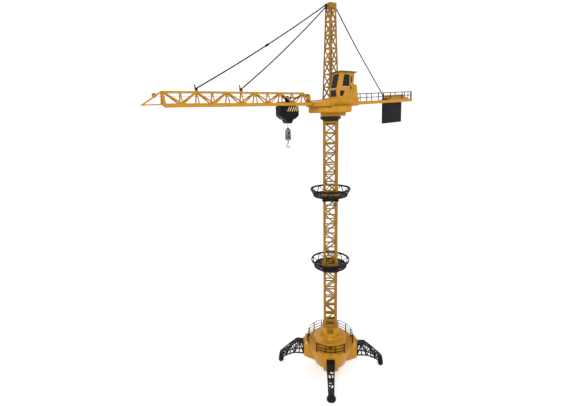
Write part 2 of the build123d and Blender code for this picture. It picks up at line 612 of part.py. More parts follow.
# ---------------------------------------------------------------- cathead and cab
def cathead():
    """A tapering square lattice: four leaning faces with zigzag braces."""
    height, low, high = CATHEAD_TOP - DECK, CATHEAD_FOOT / 2, CATHEAD_NECK / 2
    lean = math.degrees(math.atan2(low - high, height))
    cells, post = round(height / CATHEAD_PITCH), 2.0
    holes, half = [], lambda z: low + (high - low) * z / height - post
    for i in range(cells):
        z0, z1 = height * i / cells, height * (i + 1) / cells
        corners = [(-half(z0), z0), (half(z0), z0), (half(z1), z1), (-half(z1), z1)]
        holes += braced_cell(corners, 1.6, post, 1.6, post, 1.7, i % 2 == 0)
    face = cut_out(polygon([(-low, 0), (low, 0), (high, height), (-high, height)]), holes)
    plate = extrude(Plane.XZ * face, 1.5, both=True)
    plate = Pos(0, 1.5 - low, DECK) * Rot(-lean, 0, 0) * plate
    tower = Part() + around(plate, 4)
    tower += square_ring(CATHEAD_FOOT + 5, CATHEAD_FOOT - 8, DECK, DECK + 3)
    return tower & block(-60, 60, -60, 60, DECK, CATHEAD_TOP - 2)


def cathead_cap():
    half, low = CATHEAD_NECK / 2 + 0.8, CATHEAD_TOP - 2
    cap = block(-half, half, -half, half, low, low + CAP_HEIGHT)
    cap += block(half - 1, half + 4, -4, 4, low + 2, low + CAP_HEIGHT - 2)
    cap += block(half, half + 4, -4, 4, low - 4, low + 3)
    return cap + block(-half - 4, 1 - half, -4, 4, low + 1, low + CAP_HEIGHT - 3)


def cab_outline(grow=0.0):
    points = [(20, DECK), (22, DECK + 27), (9, DECK + CAB_HEIGHT), (-50, DECK + CAB_HEIGHT), (-45, DECK + 44),
              (-60, DECK + 41), (-67, DECK)]
    return inset(points, [-grow] * len(points)) if grow else points


def cab():
    """The cab's shell, its window panes and its roof."""
    middle, wide = (CAB_INNER + CAB_OUTER) / 2, CAB_OUTER - CAB_INNER
    solid = upright(cab_outline(), wide, middle)
    room = upright(cab_outline(-WALL), wide - 2 * WALL, middle)
    room += block(-63, 16, CAB_INNER + WALL, CAB_OUTER - WALL, DECK - 1, DECK + WALL + 1)
    shell = solid - room
    top = DECK + CAB_HEIGHT
    side = [[(0.5, DECK + 37), (-6, top - 6), (-29, top - 6), (-28, DECK + 37)],
            [(-33.5, DECK + 48), (-34, top - 11), (-40, top - 11), (-39.5, DECK + 48)],
            [(9.5, DECK + 7), (11, DECK + 23), (-10, DECK + 23), (-1, DECK + 7)]]
    cutters = [upright(points, wide + 10, middle) for points in side]
    front_low = block(13, 30, CAB_INNER + 3.5, CAB_OUTER - 6, DECK + 6, DECK + 25)
    front_high = block(1, 30, CAB_INNER + 3.5, CAB_OUTER - 5, DECK + 31, top - 5)
    windows = Part() + cutters + [front_low, front_high]
    shell -= windows
    ribs = upright(cab_outline(-WALL * 0.2), wide - WALL * 0.4, middle)
    ribs -= upright(cab_outline(-WALL * 0.2 - GLASS), wide - WALL * 0.4 - 2 * GLASS, middle)
    panes = ribs & windows
    roof = upright([(13, top), (13, top + ROOF_THICK - 1), (10, top + ROOF_THICK), (-55, top + ROOF_THICK),
                    (-57, top)], wide + 8, middle)
    roof += upright([(4, top + ROOF_THICK), (2, top + ROOF_THICK + 2), (-42, top + ROOF_THICK + 2),
                     (-44, top + ROOF_THICK)], wide - 12, middle)
    return shell, [pane for pane in panes.solids() if pane.volume > 5], roof


# ---------------------------------------------------------------- jib
def jib_frame(side):
    """Half of the jib: a leaning braced face, a wheel rail at its foot and half of the top chord."""
    low = Vector(0, RAIL_OFFSET, RAIL_TOP - 1)
    high = Vector(0, 1.6, CHORD_TOP - CHORD_DEPTH / 2)
    rise = high - low
    plane = Plane(origin=low, x_dir=(1, 0, 0), z_dir=Vector(1, 0, 0).cross(rise))
    tall, half_bay = rise.length, JIB_BAY / 2
    holes = [inset([(JIB_ROOT, 0), (JIB_NODE, 0), (JIB_NODE, tall)], [1.5, 1.4, 2.2])]
    for i in range(2 * JIB_BAYS):
        x0, x1 = JIB_NODE + i * half_bay, JIB_NODE + (i + 1) * half_bay
        corners = [(x0, 0), (x1, 0), (x1, tall), (x0, tall)]
        holes += braced_cell(corners, 1.5, 1.4, 2.0, 1.4, 1.8, i % 2 == 1)
    edge = JIB_END + 2
    face = cut_out(polygon([(JIB_ROOT - 3, -0.5), (edge, -0.5), (edge, tall), (JIB_NODE - 2, tall)]), holes)
    frame = extrude(plane * face, JIB_PLATE / 2, both=True)
    rail = [(JIB_ROOT - 3, RAIL_BOTTOM), (edge - 8, RAIL_BOTTOM), (edge, RAIL_TOP - 2), (edge, RAIL_TOP),
            (JIB_ROOT - 3, RAIL_TOP)]
    frame += upright(rail, RAIL_WIDTH, RAIL_OFFSET)
    frame += block(JIB_ROOT - 3, edge - 8, 7, RAIL_OFFSET - 2, RAIL_BOTTOM + 1.5, RAIL_BOTTOM + 3.5)
    frame += block(JIB_NODE - 3, edge, 0, 3, CHORD_TOP - CHORD_DEPTH, CHORD_TOP)
    for place in STAY_PLACES:
        lug = [(place - 4, CHORD_TOP - 1), (place + 4, CHORD_TOP - 1), (place + 2, CHORD_TOP + 5),
               (place - 2, CHORD_TOP + 5)]
        frame += upright(lug, 2, 1)
    frame &= block(0, NOSE_TIP, 0, 40, 900, 1100)
    level = CHORD_TOP - CHORD_DEPTH / 2
    frame -= [cross_rod(0.75, x, level, -1, 4) + cross_rod(2, x, level, 3, 9) for x in SCREW_PLACES]
    return frame if side > 0 else mirror(frame, Plane.XZ)


def jib_nose():
    """An end frame and four bars that run together at the tip, with ears for the pulley."""
    start, low = JIB_END + 2, RAIL_TOP - 2
    section = [(-RAIL_OFFSET - 3, low), (RAIL_OFFSET + 3, low), (3, CHORD_TOP), (-3, CHORD_TOP)]
    frame = Pos(start, 0, 0) * extrude(Plane.YZ * (polygon(section) - polygon(inset(section, [3, 3, 5, 3]))), 2.5)
    tip = (NOSE_TIP - 2, 0, low)
    nose = frame + block(NOSE_TIP - 8, NOSE_TIP, -5, 5, low - 1.5, low + 1.8)
    for side in (-1, 1):
        nose += bar((start + 1, side * RAIL_OFFSET, low + 1.2), (tip[0] - 3, side * 3.6, low + 0.2), 2.4, 2.6)
        nose += bar((start + 1, side * 3.4, CHORD_TOP - 2), (tip[0] - 2, side * 3.4, low + 1), 2.0, 3.4)
        ear = [(TIP_PULLEY - 4.5, PULLEY_LEVEL - 6), (TIP_PULLEY + 4.5, PULLEY_LEVEL - 9),
               (TIP_PULLEY + 3.5, PULLEY_LEVEL + 3), (TIP_PULLEY - 3.5, PULLEY_LEVEL + 3)]
        nose += upright(ear, 1.6, side * (PULLEY_WIDTH / 2 + GAP + 0.8 + 0.5))
    return nose - cross_rod(AXLE_RADIUS + RUNNING, TIP_PULLEY, PULLEY_LEVEL, -8, 8)


def pulley(place, reach):
    """A grooved wheel and its axle along Y."""
    half = PULLEY_WIDTH / 2
    profile = [(0, -half), (PULLEY_RADIUS, -half), (PULLEY_RADIUS, -half + 0.3), (PULLEY_GROOVE - 0.7, -0.7),
               (PULLEY_GROOVE - 0.7, 0.7), (PULLEY_RADIUS, half - 0.3), (PULLEY_RADIUS, half), (0, half)]
    wheel = Rot(90, 0, 0) * revolve(Plane.XZ * polygon(profile), Axis.Z)
    return Pos(place, 0, PULLEY_LEVEL) * (wheel + cross_rod(AXLE_RADIUS, 0, 0, -reach, reach))


def trolley_motor():
    """A small gear motor behind the root pulley; its face meets the ear."""
    face = PULLEY_WIDTH / 2 + GAP + 1.8
    body = block(ROOT_PULLEY - 5, ROOT_PULLEY + 5, -face - 16, -face - 2.4, PULLEY_LEVEL - 6, PULLEY_LEVEL + 6)
    ring = cross_rod(3.2, ROOT_PULLEY, PULLEY_LEVEL, -face - 2.4, -face)
    return body + ring - cross_rod(AXLE_RADIUS + RUNNING, ROOT_PULLEY, PULLEY_LEVEL, -face - 4, -face + 1)


def trolley_cord():
    """The endless thread over both pulleys."""
    reach = PULLEY_GROOVE + 0.1
    upper = long_rod(THREAD / 2, ROOT_PULLEY, TIP_PULLEY, 0, PULLEY_LEVEL + reach)
    lower = long_rod(THREAD / 2, ROOT_PULLEY, TIP_PULLEY, 0, PULLEY_LEVEL - reach)
    profile = Plane.XY * Pos(reach, 0) * Circle(THREAD / 2)
    bend = Rot(0, -90, 0) * revolve(profile, Axis.Y, 180)
    root_bend = Pos(ROOT_PULLEY, 0, PULLEY_LEVEL) * Rot(0, 180, 0) * bend
    return upper + lower + Pos(TIP_PULLEY, 0, PULLEY_LEVEL) * bend + root_bend


# ---------------------------------------------------------------- counter-jib
def counter_deck():
    """A shallow channel deck, drawn along -X, with a slot for the counterweight."""
    half = COUNTER_WIDTH / 2
    outline = [(-COUNTER_START, -half), (-COUNTER_START, half), (8 - COUNTER_END, half), (-COUNTER_END, half - 8),
               (-COUNTER_END, 8 - half), (8 - COUNTER_END, -half)]
    deck = prism(outline, COUNTER_BOTTOM, COUNTER_TOP)
    room = prism([(x * 0.992 - 0.5, y * 0.86) for x, y in outline], COUNTER_BOTTOM - 1, COUNTER_TOP - WALL)
    deck -= room
    for place in range(120, int(COUNTER_END) - 20, 40):
        deck += block(-place - 1, 1 - place, 1 - half, half - 1, COUNTER_BOTTOM + 2, COUNTER_TOP - 1)
    slot = WEIGHT_THICK / 2 + SLIP
    deck -= block(-WEIGHT_END - SLIP, SLIP - WEIGHT_START, -slot, slot, COUNTER_BOTTOM - 1, COUNTER_TOP + 1)
    return deck


def raised(shape):
    """Tilt a piece of the counter-jib up about the top edge of the deck's root."""
    pivot = Pos(-COUNTER_START, 0, COUNTER_TOP)
    return pivot * Rot(0, COUNTER_RISE, 0) * pivot.inverse() * shape


def counter_railing():
    """The fence that runs out along one side, round the end and back along the other."""
    half, size = COUNTER_WIDTH / 2 - 2, 1.8
    fence, low = Part(), COUNTER_TOP
    bars = [low + COUNTER_RAIL_HEIGHT * share - size / 2 for share in (0.5, 1.0)]
    end = 3 - COUNTER_END
    for level in bars:
        for side in (-1, 1):
            fence += block(end + 6, -COUNTER_START - 6, side * half - size / 2, side * half + size / 2,
                           level - size / 2, level + size / 2)
            fence += bar((end + 6.4, side * half, level), (end, side * (half - 6.4), level), size, size)
        fence += block(end - size / 2, end + size / 2, 6 - half, half - 6, level - size / 2, level + size / 2)
    top = bars[-1] + size / 2
    for place in (COUNTER_START + 8, 148, 205, 267, 330, COUNTER_END - 12):
        for side in (-1, 1):
            fence += block(-place - 1.1, 1.1 - place, side * half - 1.1, side * half + 1.1, low, top)
    for y in (-6, 6):
        fence += block(end - 1.1, end + 1.1, y - 1.1, y + 1.1, low, top)
    return fence


def counterweight():
    """The ballast slab hangs through the deck by its shoulders; the post at its inner end holds the rear stay."""
    half = WEIGHT_THICK / 2
    slab = block(-WEIGHT_END, -WEIGHT_START, -half, half, WEIGHT_BOTTOM, COUNTER_TOP)
    slab += block(-WEIGHT_END, -WEIGHT_START, -half - 2, half + 2, COUNTER_TOP, COUNTER_TOP + 4)
    return slab + block(-WEIGHT_START - 5, -WEIGHT_START, -2, 2, COUNTER_TOP, COUNTER_TOP + STAY_POST_HEIGHT)


def ballast_box():
    """A stepped cover over the counterweight's shoulders, with a sloping outer end."""
    low, half, step = COUNTER_TOP, COUNTER_WIDTH / 2 - 5, BALLAST_HEIGHT / 2
    outline = [(-BALLAST_START, low), (-BALLAST_START, low + step), (16 - BALLAST_END, low + step),
               (-BALLAST_END, low + 3), (-BALLAST_END, low)]
    box = upright(outline, 2 * half)
    lid = [(-BALLAST_START - 2, low + step), (-BALLAST_START - 3, low + BALLAST_HEIGHT),
           (24 - BALLAST_END, low + BALLAST_HEIGHT), (17 - BALLAST_END, low + step)]
    box += upright(lid, 2 * half - 5)
    room = WEIGHT_THICK / 2 + 2 + GAP
    box -= block(-WEIGHT_END - GAP, 1 - BALLAST_START, -room, room, low - 1, low + 4 + GAP)
    return box - block(24 - BALLAST_END, -BALLAST_START - 5, 4.5 - half, half - 4.5, low - 1,
                       low + BALLAST_HEIGHT - WALL)


# ---------------------------------------------------------------- trolley, hoist and hook
def carriage():
    """The block between the jib rails: axle bores, the arm and the clamp that holds the thread."""
    place, low = TROLLEY_PLACE, HOUSING_TOP
    body = block(place - 28, place + 34, -5, 5, low, low + 13)
    body += block(place - 6, place + 6, -2.5, 2.5, low + 13, low + 26)
    body += block(place - 46, place + 20, -2.5, 2.5, low + 22.5, low + 26)
    clamp_half = PULLEY_GROOVE + 0.1
    body += block(place - 5, place + 5, -2, 2, low + 25, PULLEY_LEVEL - clamp_half + 2)
    body -= long_rod(THREAD / 2 + GAP + 0.1, place - 6, place + 6, 0, PULLEY_LEVEL - clamp_half)
    for axle in (-0.5, 0.5):
        x = place + 4 + axle * WHEEL_SPACING
        body -= cross_rod(AXLE_RADIUS + RUNNING, x, AXLE_LEVEL, -8, 8)
        body -= block(x - 5, x + 5, -1.5, 1.5, low + 3, low + 14)
    return body


def wheelset(axle):
    """Two wheels on one axle; the wheels run on the rail ledges."""
    x = TROLLEY_PLACE + 4 + axle * WHEEL_SPACING
    rod = cross_rod(AXLE_RADIUS, x, AXLE_LEVEL, -9, 9)
    wheels = [cross_rod(WHEEL_RADIUS, x, AXLE_LEVEL, 7.6, 10.8), cross_rod(WHEEL_RADIUS, x, AXLE_LEVEL, -10.8, -7.6)]
    return rod + wheels


def hoist_outline():
    near, far = TROLLEY_PLACE - TROLLEY_LENGTH / 2, TROLLEY_PLACE + TROLLEY_LENGTH / 2
    return [(near, HOUSING_TOP), (far, HOUSING_TOP), (far, HOUSING_TOP - 27), (far - 12, HOUSING_TOP - 37),
            (far - 20, HOUSING_TOP - 39), (far - 26, HOUSING_BOTTOM), (near + 26, HOUSING_BOTTOM),
            (near + 20, HOUSING_TOP - 39), (near + 12, HOUSING_TOP - 36.5), (near, HOUSING_TOP - 28)]


def hoist_housing(side):
    """One half of the hoist housing, open towards the other half."""
    half = TROLLEY_WIDTH / 2
    near, far = TROLLEY_PLACE - TROLLEY_LENGTH / 2, TROLLEY_PLACE + TROLLEY_LENGTH / 2
    room = [(near + 2, HOUSING_TOP - 2), (far - 2, HOUSING_TOP - 2), (far - 2, HOUSING_TOP - 26),
            (far - 13, HOUSING_TOP - 35), (near + 13, HOUSING_TOP - 34.5), (near + 2, HOUSING_TOP - 27)]
    shell = upright(hoist_outline(), half, side * half / 2) - upright(room, half - 2, side * (half - 2) / 2)
    cord_way = disc(1.6, HOUSING_BOTTOM - 1, HOUSING_TOP - 30, TROLLEY_PLACE)
    boss_places = [(near + 6, HOUSING_TOP - 7), (far - 6, HOUSING_TOP - 7)]
    for x, z in boss_places:
        y0, y1 = sorted((0, side * (half - 1)))
        shell += cross_rod(3, x, z, y0, y1)
        shell -= cross_rod(1.2, x, z, min(0, side * (half - 4)), max(0, side * (half - 4)))
    return shell - cord_way


def hoist_motor():
    x, z = TROLLEY_PLACE - DRUM_RADIUS - HOIST_CORD / 2, HOUSING_TOP - 22
    body = block(x - 6, x + 6, -TROLLEY_WIDTH / 2 + 2, -7, z - 5, z + 5)
    return body + cross_rod(AXLE_RADIUS + 0.5, x, z, -7, 7)


def hoist_drum():
    x, z = TROLLEY_PLACE - DRUM_RADIUS - HOIST_CORD / 2, HOUSING_TOP - 22
    flange = DRUM_RADIUS + 4
    drum = cross_rod(DRUM_RADIUS, x, z, -6, 6) + cross_rod(flange, x, z, 4.6, 6) + cross_rod(flange, x, z, -6, -4.6)
    return drum - cross_rod(AXLE_RADIUS + 0.5 + RUNNING, x, z, -7, 7)


def hoist_cord():
    """The free stretch from the housing down to the hook block."""
    return disc(HOIST_CORD / 2, HOOK_BLOCK_TOP + 4 + GAP, HOUSING_BOTTOM + 12, TROLLEY_PLACE)


def hook_block():
    """The weighted block; its shank bore lets the hook swivel."""
    half, low, top = HOOK_BLOCK_WIDTH / 2, HOOK_BLOCK_BOTTOM, HOOK_BLOCK_TOP
    outline = [(-half + 2, low), (half - 2, low), (half, low + 3), (half, top - 4), (half - 4, top), (4 - half, top),
               (-half, top - 4), (-half, low + 3)]
    body = upright(outline, HOOK_BLOCK_DEPTH)
    body += disc(3, top, top + 2) + disc(2, top + 2, top + 4)
    body -= cross_rod(3.4, 0, top - 13, -HOOK_BLOCK_DEPTH, HOOK_BLOCK_DEPTH)
    body -= disc(SHANK_RADIUS + RUNNING, low - 1, low + 7)
    body -= cross_rod(2.9, 0, low + 9, -HOOK_BLOCK_DEPTH, HOOK_BLOCK_DEPTH)
    return Pos(TROLLEY_PLACE, 0, 0) * body


def hook():
    """A swivelling hook: a headed shank, a bend and a rounded point."""
    bend = Rot(0, -90, 0) * revolve(Plane.XY * Pos(HOOK_BEND, 0) * Circle(HOOK_WIRE), Axis.Y, 245)
    point = Pos(HOOK_BEND * math.sin(math.radians(245)), 0, HOOK_BEND * math.cos(math.radians(245)))
    body = bend + point * Sphere(HOOK_WIRE)
    shank = disc(SHANK_RADIUS, HOOK_CENTRE + HOOK_BEND - 0.6, HOOK_BLOCK_BOTTOM + 8.4)
    shank += disc(2.1, HOOK_BLOCK_BOTTOM + 7.4, HOOK_BLOCK_BOTTOM + 9)
    shank += disc(2.4, HOOK_BLOCK_BOTTOM - 3.5, HOOK_BLOCK_BOTTOM - GAP)
    return Pos(TROLLEY_PLACE, 0, 0) * (Pos(0, 0, HOOK_CENTRE) * body + shank)


# ---------------------------------------------------------------- stays
def cord_tube(points, radius):
    """A tube along straight runs and tangent arcs; each arc is as large as its two runs allow."""
    radii = []
    for before, corner, after in zip(points, points[1:], points[2:]):
        first, second = Vector(*corner) - Vector(*before), Vector(*after) - Vector(*corner)
        half_turn = math.radians(first.get_angle(second) / 2)
        radii.append(0.45 * min(first.length, second.length) / math.tan(half_turn))
    print("radii", [round(value, 1) for value in radii])
    path = FilletPolyline(*points, radius=radii)
    start = Vector(*points[0])
    section = Plane(origin=start, z_dir=Vector(*points[1]) - start) * Circle(radius)
    tube = sweep(section, path=path)
    print("volume over section times length", round(tube.volume / (math.pi * radius ** 2 * path.length), 4))
    return tube


INNER_STAY = [(20.6, 0.0, 1266.5), (77.0, 0.0, 1217.0), (136.0, 0.0, 1166.8), (195.0, 0.0, 1118.8),
              (254.0, 0.0, 1073.0), (313.2, 0.0, 1030.0)]
OUTER_STAY = [(20.6, 0.0, 1273.0), (103.0, 0.0, 1221.0), (187.0, 0.0, 1170.5), (271.0, 0.0, 1121.6),
              (355.0, 0.0, 1074.4), (438.3, 0.0, 1030.0)]
REAR_END = raised(Pos(2.5 - REAR_STAY_PLACE, 0, COUNTER_TOP + STAY_POST_HEIGHT + 2)).position
REAR_STAY = [(-20.6, 0.0, 1270.0), (-75.0, 0.0, 1203.5), (-131.0, 0.0, 1138.5), (-188.0, 0.0, 1077.0),
             (REAR_END.X, 0.0, REAR_END.Z)]


def jib_clip(place):
    """A clip that straddles a lug on the top chord, with its loose tail."""
    low = LUG_TOP - 3
    body = block(place - 3, place + 3, -3.6, 3.6, low, LUG_TOP + 4)
    body -= block(place - 4, place + 4, -2 - SLIP, 2 + SLIP, low - 1, LUG_TOP)
    return body + bar((place + 2, 0, LUG_TOP + 3), (place + 4, 0, LUG_TOP + 12), 2.6, 2.4)


def stay_clips():
    clips = [jib_clip(place) for place in STAY_PLACES]
    half, grip = CATHEAD_NECK / 2 + 4.8, STAY / 2 + 1.2
    for start in (INNER_STAY[0], OUTER_STAY[0], REAR_STAY[0]):
        x0, x1 = sorted((math.copysign(half, start[0]), start[0]))
        clips.append(block(x0, x1, -grip, grip, start[2] - grip, start[2] + grip))
    top = COUNTER_TOP + STAY_POST_HEIGHT
    return clips + [raised(block(-REAR_STAY_PLACE - 3, 3 - REAR_STAY_PLACE, -3, 3, top, top + 4))]


def stay_splice():
    """The sleeve that joins the two lengths of the outer stay."""
    before, after = Vector(*OUTER_STAY[2]), Vector(*OUTER_STAY[3])
    middle, along = (before + after) * 0.5, (after - before).normalized()
    return Plane(origin=middle - along * 5, z_dir=along) * (
        Pos(0, 0, 5) * (Cylinder(STAY / 2 + 1.3, 10) - Cylinder(STAY / 2 + 0.1, 12)))


# ---------------------------------------------------------------- the nodes
os.makedirs("parts", exist_ok=True)

save_base("base_shell", base_shell())
save_base("base_cover", base_cover())
tray, cells, door, board = battery_pack()
save_base("battery_tray", tray)
save_base("battery_cells", cells)
save_base("battery_door", door)
save_base("control_board", board)
save_base("power_switch", power_switch())
save_base("mast_socket", mast_socket())
leg_screw_place = LOBE_REACH - LEG_PLUG / 2
leg_screws = around(screw(leg_screw_place, 0, SCREW_SEAT, 28, LEG_SCREW_HEAD, 1.4), 4)
cover_screws = around(Pos(0, 0, 2 * BASE_BOTTOM) * mirror(screw(COVER_SCREWS, 0, BASE_BOTTOM, 12), Plane.XY), 4, 45)
save_base("base_screws", leg_screws + cover_screws)
for name, angle in (("front", -90), ("right", 0), ("back", 90), ("left", 180)):
    save_base(f"leg_{name}", turned(leg(), angle))
save_base("foot_pads", around(foot_pad(), 4))
for name, angle in (("front", -90), ("right", 30), ("left", 150)):
    save_base(f"balcony_railing_{name}", turned(balcony_railing(), angle))

lower_basket, upper_basket = BASKET_LEVELS
save_base("mast_section_lower", lowest_section(lower_basket))
save_base("mast_section_middle", mast_section(lower_basket + BASKET_FLOOR_THICK, upper_basket))
save_base("mast_section_upper", mast_section(upper_basket + BASKET_FLOOR_THICK, MAST_TOP))
save_base("basket_lower", turned(basket(lower_basket), 90))
save_base("basket_upper", turned(basket(upper_basket), 90))
save_base("slew_ring", slew_ring())

save("slew_gear", slew_gear())
save("slew_pinion", slew_pinion())
save_head("slew_housing", slew_housing())
save_head("turntable", turntable())
save_head("slew_motor", slew_motor())
save_head("platform", platform())
save_head("cathead", cathead())
save_head("cathead_cap", cathead_cap())
cab_shell, cab_windows, cab_roof = cab()
save_head("cab_shell", cab_shell)
save_head("cab_windows", cab_windows)
save_head("cab_roof", cab_roof)

save_head("jib_frame_front", jib_frame(1))
save_head("jib_frame_back", jib_frame(-1))
save_head("jib_nose", jib_nose())
chord_screw = Rot(-90, 0, 0) * screw(0, 0, 0, 2.4, 1.7, 0.7)
save_head("jib_screws", [Pos(x, 3, CHORD_TOP - CHORD_DEPTH / 2) * chord_screw for x in SCREW_PLACES])
save_head("tip_pulley", pulley(TIP_PULLEY, PULLEY_WIDTH / 2 + GAP + 2.2))
save_head("root_pulley", pulley(ROOT_PULLEY, PULLEY_WIDTH / 2 + GAP + 3.0))
save_head("trolley_motor", trolley_motor())
save_head("trolley_cord", trolley_cord())

save_head("counter_deck", raised(counter_deck()))
save_head("counter_railing", raised(counter_railing()))
save_head("counterweight", raised(counterweight()))
save_head("ballast_box", raised(ballast_box()))

for name, route in (("inner", INNER_STAY), ("outer", OUTER_STAY), ("rear", REAR_STAY)):
    save_head(f"stay_{name}", cord_tube(route, STAY / 2))
save_head("stay_clips", stay_clips() + [stay_splice()])

save_head("trolley_carriage", carriage())
save_head("wheelset_outer", wheelset(0.5))
save_head("wheelset_inner", wheelset(-0.5))
save_head("hoist_housing_front", hoist_housing(1))
save_head("hoist_housing_back", hoist_housing(-1))
save_head("hoist_motor", hoist_motor())
save_head("hoist_drum", hoist_drum())
save_head("hoist_cord", hoist_cord())
save_head("hook_block", hook_block())
save_head("hook", hook())
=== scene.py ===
"""Toy tower crane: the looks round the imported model. Metres, in the model's own frame."""

import math

import bmesh
import bpy
from mathutils import Matrix, Vector


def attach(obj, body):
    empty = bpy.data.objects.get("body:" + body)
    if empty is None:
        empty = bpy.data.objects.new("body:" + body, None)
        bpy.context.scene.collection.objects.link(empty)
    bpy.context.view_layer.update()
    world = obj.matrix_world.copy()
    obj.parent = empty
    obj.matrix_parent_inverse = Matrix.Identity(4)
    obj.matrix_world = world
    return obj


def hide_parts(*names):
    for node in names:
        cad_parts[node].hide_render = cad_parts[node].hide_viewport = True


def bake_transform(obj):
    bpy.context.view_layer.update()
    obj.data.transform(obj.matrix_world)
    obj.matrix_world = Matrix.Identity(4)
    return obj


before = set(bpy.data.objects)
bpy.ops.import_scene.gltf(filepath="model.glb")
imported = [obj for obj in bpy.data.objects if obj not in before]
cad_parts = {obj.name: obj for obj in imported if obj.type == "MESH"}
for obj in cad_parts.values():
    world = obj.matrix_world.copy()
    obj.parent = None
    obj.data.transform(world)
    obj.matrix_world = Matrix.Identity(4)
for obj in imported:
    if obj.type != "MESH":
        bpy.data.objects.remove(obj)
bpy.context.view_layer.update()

MM = 0.001
BASE_TURN = math.radians(-38.44)     # how far the base stands turned under the jib
HOIST_X = -0.168                     # the load line's axis
CORD_EXIT = 0.943                    # level where the load line leaves the hoist
HOIST_FACE = 0.013                   # half the width of the hoist housing
CAB_FACE = 0.058                     # outer side of the cab


# ---------------------------------------------------------------- camera
def make_camera():
    data = bpy.data.cameras.new("camera")
    data.lens = 21.03
    data.sensor_width = 36.0
    data.clip_start, data.clip_end = 0.01, 100.0
    camera = bpy.data.objects.new("camera", data)
    right = Vector((0.83702, -0.54644, -0.02842))
    up = Vector((0.16111, 0.19649, 0.96718))
    back = right.cross(up)
    turn = Matrix((right, up, back)).transposed()
    camera.matrix_world = Matrix.Translation((-0.7399, -0.8903, 0.957)) @ turn.to_4x4()
    bpy.context.collection.objects.link(camera)
    bpy.context.scene.camera = camera


make_camera()


# ---------------------------------------------------------------- meshes
def link(mesh, name, body, material):
    piece = bpy.data.objects.new(name, mesh)
    bpy.context.collection.objects.link(piece)
    mesh.materials.append(material)
    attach(piece, body)
    return piece


def mesh_from(form, name):
    """Turn a finished bmesh into a mesh, smooth where its faces meet at a small angle."""
    bmesh.ops.recalc_face_normals(form, faces=form.faces)
    mesh = bpy.data.meshes.new(name)
    form.to_mesh(mesh)
    form.free()
    mesh.shade_smooth()
    mesh.set_sharp_from_angle(angle=math.radians(32))
    return mesh


def bevel_edges(form, width, segments=2, least=math.radians(28)):
    edges = [e for e in form.edges if len(e.link_faces) == 2 and e.calc_face_angle(0) > least]
    bmesh.ops.bevel(form, geom=edges, offset=width, segments=segments, profile=0.6, affect="EDGES",
                    clamp_overlap=True)


def add_loop_prism(form, points, low, high, place=None):
    """A prism over a closed outline in XY, from low to high in Z, then put in place."""
    place = place or Matrix()
    bottom = [form.verts.new(place @ Vector((x, y, low))) for x, y in points]
    top = [form.verts.new(place @ Vector((x, y, high))) for x, y in points]
    count = len(points)
    form.faces.new(bottom[::-1])
    form.faces.new(top)
    for i in range(count):
        form.faces.new((bottom[i], bottom[(i + 1) % count], top[(i + 1) % count], top[i]))


def add_lathe(form, profile, place=None, steps=32):
    """A body of revolution about Z from (radius, height) points; a radius of 0 closes an end."""
    place = place or Matrix()
    rings = []
    for radius, height in profile:
        if radius == 0:
            rings.append([form.verts.new(place @ Vector((0, 0, height)))])
            continue
        rings.append([form.verts.new(place @ Vector((radius * math.cos(2 * math.pi * i / steps),
                                                     radius * math.sin(2 * math.pi * i / steps), height)))
                      for i in range(steps)])
    for below, above in zip(rings, rings[1:]):
        for i in range(steps):
            j = (i + 1) % steps
            if len(below) == 1:
                form.faces.new((below[0], above[i], above[j]))
            elif len(above) == 1:
                form.faces.new((below[i], below[j], above[0]))
            else:
                form.faces.new((below[i], below[j], above[j], above[i]))


def circle_points(radius, count, x=0.0, y=0.0, start=0.0):
    return [(x + radius * math.cos(start + 2 * math.pi * i / count),
             y + radius * math.sin(start + 2 * math.pi * i / count)) for i in range(count)]


def facing(origin, normal, up=(0, 0, 1)):
    """A frame whose Z is the normal of a face and whose Y is nearest to up."""
    z = Vector(normal).normalized()
    x = Vector(up).cross(z).normalized()
    y = z.cross(x)
    turn = Matrix((x, y, z)).transposed()
    return Matrix.Translation(origin) @ turn.to_4x4()


def add_cross_screw(form, place, radius=3 * MM, height=1.1 * MM):
    """A domed screw head with a cross recess, seated at Z 0 of its place."""
    slot, arm, deep = 0.16 * radius, 0.55 * radius, 0.45 * height
    add_lathe(form, [(radius, 0), (radius, 0.35 * height), (0.93 * radius, 0.62 * height),
                     (0.78 * radius, 0.84 * height), (0.62 * radius, height)], place, 24)
    rim = [form.verts.new(place @ Vector((x, y, height))) for x, y in circle_points(0.62 * radius, 24)]
    cross = [(slot, slot), (slot, arm), (-slot, arm), (-slot, slot), (-arm, slot), (-arm, -slot),
             (-slot, -slot), (-slot, -arm), (slot, -arm), (slot, -slot), (arm, -slot), (arm, slot)]
    upper = [form.verts.new(place @ Vector((x, y, height))) for x, y in cross]
    lower = [form.verts.new(place @ Vector((x, y, height - deep))) for x, y in cross]
    count = len(cross)
    loops = [[form.edges.new((ring[i], ring[(i + 1) % len(ring)])) for i in range(len(ring))]
             for ring in (rim, upper)]
    bmesh.ops.triangle_fill(form, use_beauty=True, edges=loops[0] + loops[1])
    for i in range(count):
        form.faces.new((upper[i], upper[(i + 1) % count], lower[(i + 1) % count], lower[i]))
    form.faces.new(lower)


def weld(form, distance=0.01 * MM):
    bmesh.ops.remove_doubles(form, verts=form.verts, dist=distance)


